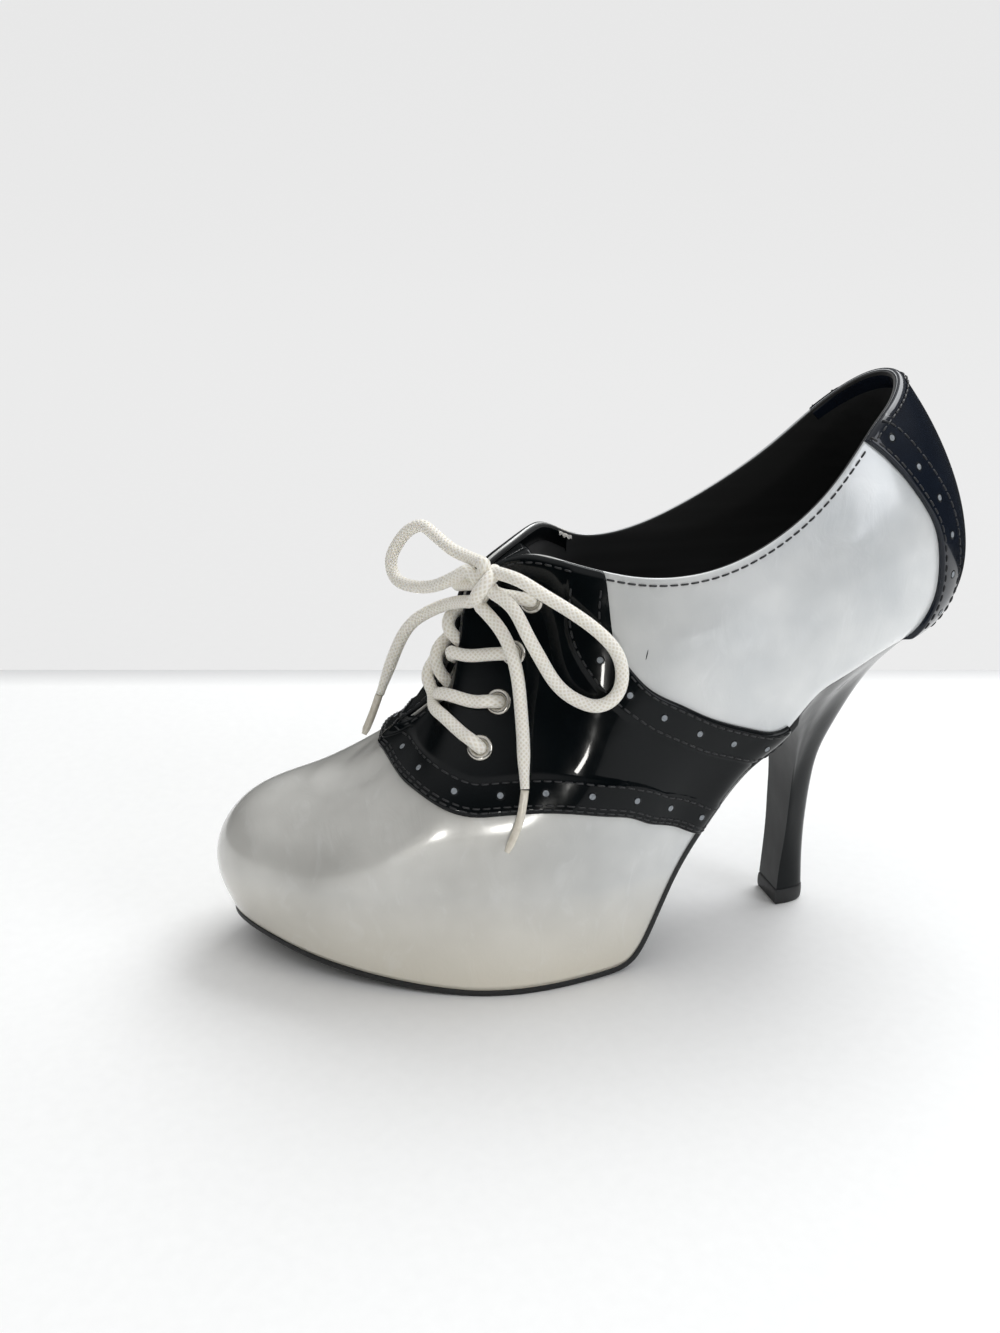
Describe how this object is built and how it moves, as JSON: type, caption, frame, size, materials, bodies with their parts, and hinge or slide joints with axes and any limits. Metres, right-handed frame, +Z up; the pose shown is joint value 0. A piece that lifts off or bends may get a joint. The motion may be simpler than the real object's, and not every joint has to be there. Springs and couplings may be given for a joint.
{
  "type": "high-heeled spectator shoe",
  "caption": "Left high-heeled lace-up shoe: pearl white patent upper with black saddle and heel counter, hidden platform, slim heel.",
  "frame": {"origin": "centre of the heel tip's ground face, on the plane that the heel tip and the tread stand on", "axes": "+Z up; the toe points to -Y; +X is the outer side of the foot, as this is a left shoe"},
  "size_m": [0.0863, 0.2365, 0.1727],
  "materials": {
    "pearl_patent": "high-gloss pearl white patent",
    "black_patent": "high-gloss black patent",
    "black_lining": "matt black lining",
    "black_rubber": "satin black rubber",
    "eyelet_metal": "polished nickel",
    "lace": "braided off-white polyester",
    "aglet_film": "clear film over the braid"
  },
  "bodies": {
    "root": {"upper": "pearl_patent", "saddle": "black_patent", "heel_counter": "black_patent", "tongue": "black_patent", "sole": "black_rubber", "insole": "black_lining", "heel": "black_patent", "heel_tip": "black_rubber", "eyelet_outer_1": "eyelet_metal", "eyelet_outer_2": "eyelet_metal", "eyelet_outer_3": "eyelet_metal", "eyelet_outer_4": "eyelet_metal", "eyelet_inner_1": "eyelet_metal", "eyelet_inner_2": "eyelet_metal", "eyelet_inner_3": "eyelet_metal", "eyelet_inner_4": "eyelet_metal", "lace_crossing_1": "lace", "lace_crossing_2": "lace", "lace_crossing_3": "lace", "lace_top_outer": "lace", "lace_top_inner": "lace", "lace_knot": "lace", "lace_loop_outer": "lace", "lace_loop_inner": "lace", "lace_end_outer": "lace", "lace_end_inner": "lace", "aglet_outer": "aglet_film", "aglet_inner": "aglet_film"}
  },
  "joints": []
}
